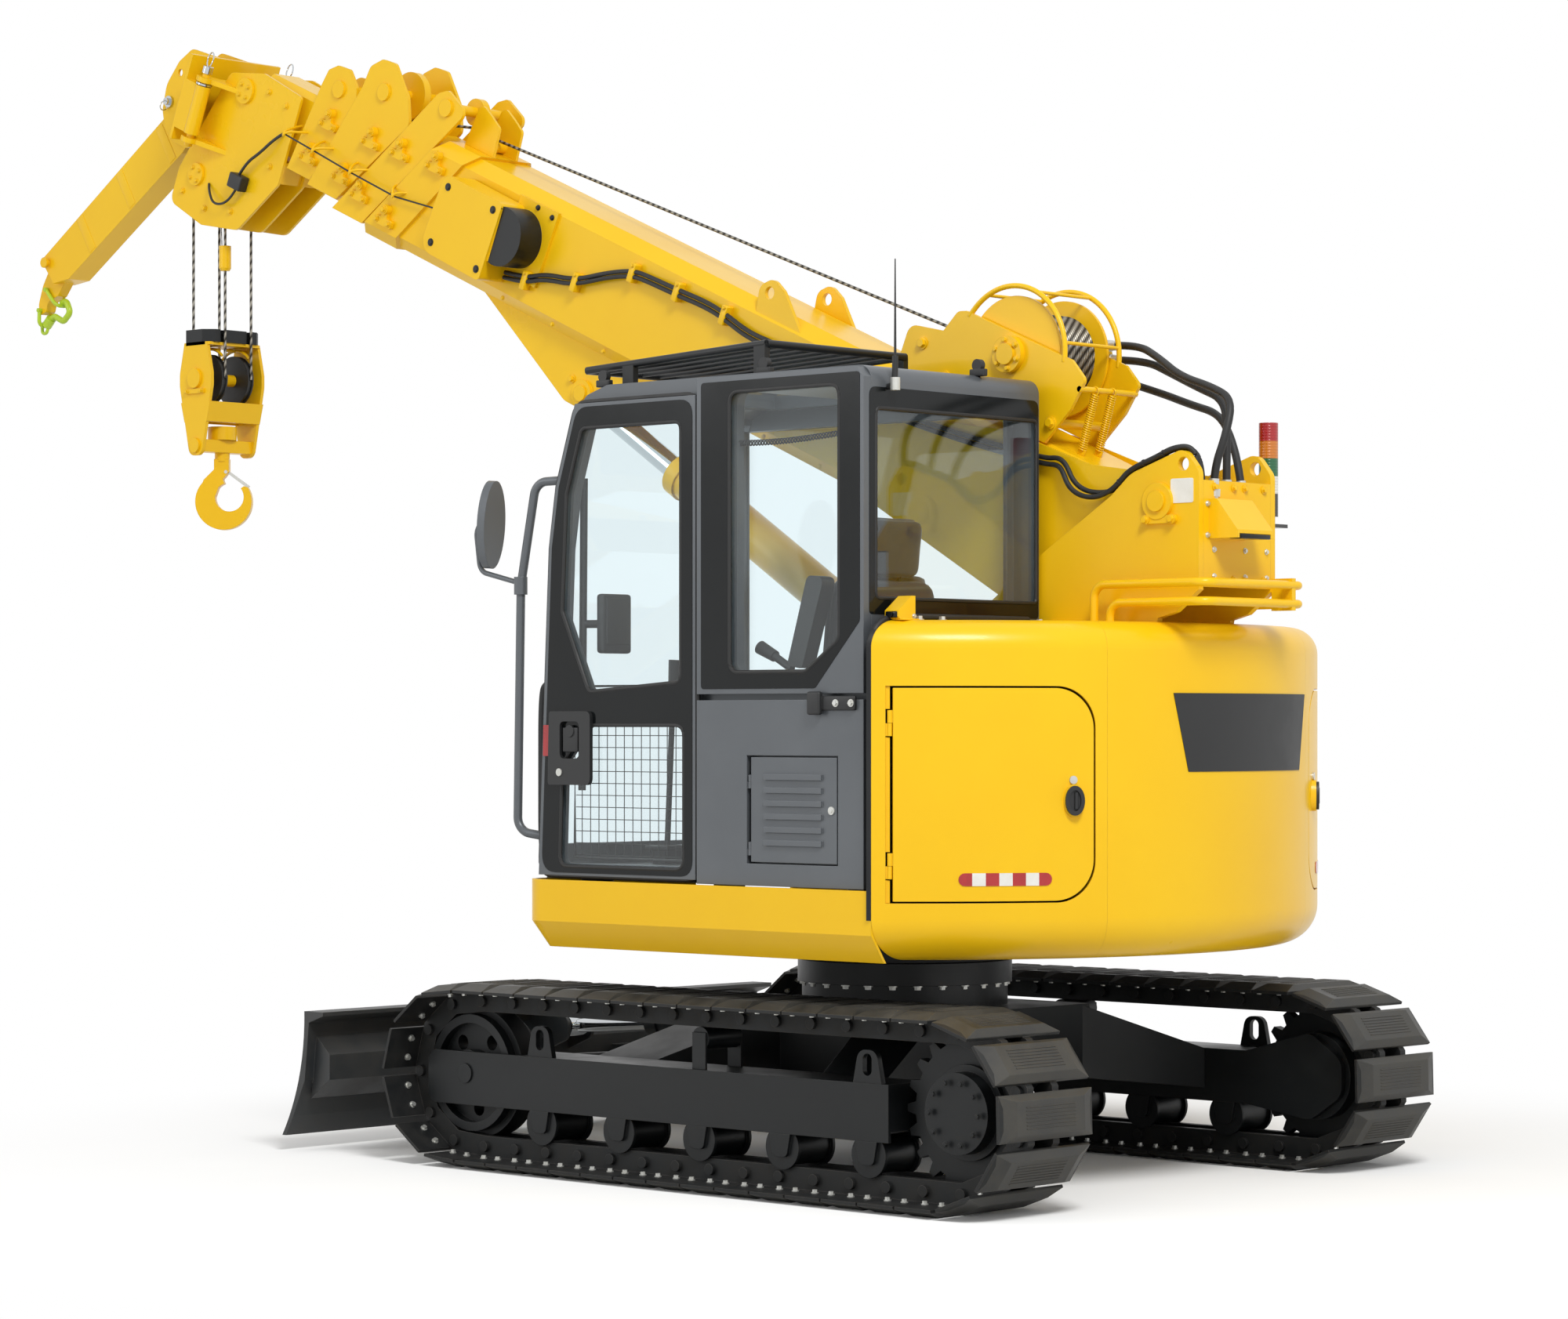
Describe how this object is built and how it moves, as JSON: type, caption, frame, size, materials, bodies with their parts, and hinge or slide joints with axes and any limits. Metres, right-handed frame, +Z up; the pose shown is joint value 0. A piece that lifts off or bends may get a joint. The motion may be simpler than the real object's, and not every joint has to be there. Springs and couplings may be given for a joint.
{
  "type": "crawler crane",
  "caption": "Compact crawler crane with a telescopic boom, hoist winch, hook block, short jib and front blade on a slewing house with a cab.",
  "frame": {"origin": "on the ground under the slewing axis, midway between the tracks", "axes": "+X forward along the boom, +Y to the machine's left, the cab's side, +Z up"},
  "size_m": [6.4025, 2.3256, 4.2553],
  "materials": {
    "yellow_paint": "gloss coat",
    "black_paint": "gloss coat",
    "dark_grey_paint": "gloss coat",
    "grey_paint": "gloss coat",
    "track_rubber": "moulded",
    "tinted_glass": "clear tint",
    "chromed_rod": "polished",
    "wire_rope": "stranded",
    "seat_cloth": "woven",
    "black_plastic": "moulded grain",
    "lamp_plastic": "clear dome",
    "lime_paint": "gloss coat"
  },
  "bodies": {
    "undercarriage": {"car_body": "black_paint", "slew_ring": "black_paint", "track_frame_left": "black_paint", "track_frame_right": "black_paint", "track_left": "track_rubber", "track_right": "track_rubber", "running_gear_left": "black_paint", "running_gear_right": "black_paint"},
    "blade": {"blade": "black_paint"},
    "blade_barrel": {"blade_barrel": "black_paint"},
    "blade_rod": {"blade_rod": "chromed_rod"},
    "upper": {"deck": "black_paint", "skirt_left": "yellow_paint", "skirt_right": "yellow_paint", "cowl_left": "yellow_paint", "cowl_right": "yellow_paint", "counterweight": "yellow_paint", "hood_top": "yellow_paint", "firewall": "black_paint", "engine": "black_paint", "right_cover": "yellow_paint", "cab_frame": "dark_grey_paint", "cab_door": "dark_grey_paint", "cab_quarter": "dark_grey_paint", "cab_side_panel": "grey_paint", "cab_glass": "tinted_glass", "seat": "seat_cloth", "controls": "black_plastic", "mirror_stay": "dark_grey_paint", "roof_guard": "black_paint", "signal_tower": "lamp_plastic", "handrail": "yellow_paint", "bracket_plate_left": "yellow_paint", "bracket_plate_right": "yellow_paint", "bracket_ties": "yellow_paint"},
    "service_door_left": {"service_door_left": "yellow_paint"},
    "service_door_right": {"service_door_right": "yellow_paint"},
    "cab_hatch": {"cab_hatch": "grey_paint"},
    "boom": {"boom_base": "yellow_paint", "rope_guide": "yellow_paint", "length_reel": "yellow_paint", "winch_frame": "yellow_paint", "hoist_rope": "wire_rope"},
    "luff_barrel": {"luff_barrel": "yellow_paint"},
    "luff_rod": {"luff_rod": "chromed_rod"},
    "winch_drum": {"winch_drum": "yellow_paint"},
    "boom_2": {"boom_2": "yellow_paint"},
    "boom_3": {"boom_3": "yellow_paint"},
    "boom_4": {"boom_4": "yellow_paint"},
    "boom_5": {"boom_5": "yellow_paint", "head_sheaves": "yellow_paint"},
    "jib_bracket": {"jib_bracket": "yellow_paint"},
    "jib_arm": {"jib_arm": "yellow_paint", "jib_hook": "lime_paint"},
    "hook_block": {"hook_block": "yellow_paint", "block_buffer": "black_paint", "block_sheaves": "yellow_paint", "hoist_falls": "wire_rope"},
    "hook": {"hook": "yellow_paint"}
  },
  "joints": [
    {"name": "slew", "type": "hinge", "parent": "undercarriage", "child": "upper", "pos_m": [0, 0, 0.715], "axis": [0, 0, 1], "continuous": true},
    {"name": "blade_lift", "type": "hinge", "parent": "undercarriage", "child": "blade", "pos_m": [0.66, 0, 0.35], "axis": [0, -1, 0], "range_deg": [-2.4, 15]},
    {"name": "blade_barrel_tilt", "type": "hinge", "parent": "undercarriage", "child": "blade_barrel", "pos_m": [0.6, 0, 0.48], "axis": [0, -1, 0], "range_deg": [-3, 15]},
    {"name": "blade_rod_slide", "type": "slide", "parent": "blade_barrel", "child": "blade_rod", "axis": [0.9971, 0, -0.0767], "range_m": [-0.04, 0.01]},
    {"name": "service_door_left_swing", "type": "hinge", "parent": "upper", "child": "service_door_left", "pos_m": [-0.89041, 1.08813, 1.303], "axis": [0, 0, -1], "range_deg": [0, 85]},
    {"name": "service_door_right_swing", "type": "hinge", "parent": "upper", "child": "service_door_right", "pos_m": [-0.89041, -1.08813, 1.303], "axis": [0, 0, 1], "range_deg": [0, 85]},
    {"name": "cab_hatch_swing", "type": "hinge", "parent": "upper", "child": "cab_hatch", "pos_m": [-0.314, 1.107, 1.2495], "axis": [0, 0, -1], "range_deg": [0, 100]},
    {"name": "boom_luff", "type": "hinge", "parent": "upper", "child": "boom", "pos_m": [-1.294, 0.04, 2.236], "axis": [0, -1, 0], "range_deg": [-23.5, 51.5]},
    {"name": "luff_barrel_tilt", "type": "hinge", "parent": "upper", "child": "luff_barrel", "pos_m": [-1, 0.04, 1.117], "axis": [0, -1, 0], "range_deg": [-19.6, 42.8]},
    {"name": "luff_rod_slide", "type": "slide", "parent": "luff_barrel", "child": "luff_rod", "axis": [0.8413, 0, 0.5405], "range_m": [-0.395, 0.86]},
    {"name": "boom_2_slide", "type": "slide", "parent": "boom", "child": "boom_2", "axis": [0.9171, 0, 0.3987], "range_m": [0, 2.8]},
    {"name": "boom_3_slide", "type": "slide", "parent": "boom_2", "child": "boom_3", "axis": [0.9171, 0, 0.3987], "range_m": [0, 2.8]},
    {"name": "boom_4_slide", "type": "slide", "parent": "boom_3", "child": "boom_4", "axis": [0.9171, 0, 0.3987], "range_m": [0, 2.8]},
    {"name": "boom_5_slide", "type": "slide", "parent": "boom_4", "child": "boom_5", "axis": [0.9171, 0, 0.3987], "range_m": [0, 2.8]},
    {"name": "winch_turn", "type": "hinge", "parent": "boom", "child": "winch_drum", "pos_m": [-0.63097, 0.04, 2.75001], "axis": [0, 1, 0], "continuous": true},
    {"name": "jib_swing", "type": "hinge", "parent": "boom_5", "child": "jib_bracket", "pos_m": [3.5421, 0.245, 3.97895], "axis": [-0.3987, 0, 0.9171], "range_deg": [0, 180]},
    {"name": "jib_offset", "type": "hinge", "parent": "jib_bracket", "child": "jib_arm", "pos_m": [3.70399, 0.04, 4.03298], "axis": [0, -1, 0], "range_deg": [0, 55]},
    {"name": "block_plumb", "type": "hinge", "parent": "boom_5", "child": "hook_block", "pos_m": [3.63661, 0.04, 3.73653], "axis": [0, -1, 0], "range_deg": [-60, 30]},
    {"name": "hook_swivel", "type": "hinge", "parent": "hook_block", "child": "hook", "pos_m": [3.63661, 0.04, 2.645], "axis": [0, 0, 1], "continuous": true}
  ],
  "couplings": [
    {"joint": "luff_barrel_tilt", "follows": "boom_luff", "ratio": 0.828},
    {"joint": "luff_rod_slide", "follows": "boom_luff", "m_per_rad": 0.95},
    {"joint": "block_plumb", "follows": "boom_luff", "ratio": -1},
    {"joint": "boom_3_slide", "follows": "boom_2_slide", "ratio": 1},
    {"joint": "boom_4_slide", "follows": "boom_2_slide", "ratio": 1},
    {"joint": "boom_5_slide", "follows": "boom_2_slide", "ratio": 1},
    {"joint": "blade_barrel_tilt", "follows": "blade_lift", "ratio": 0.945},
    {"joint": "blade_rod_slide", "follows": "blade_lift", "m_per_rad": -0.131}
  ]
}
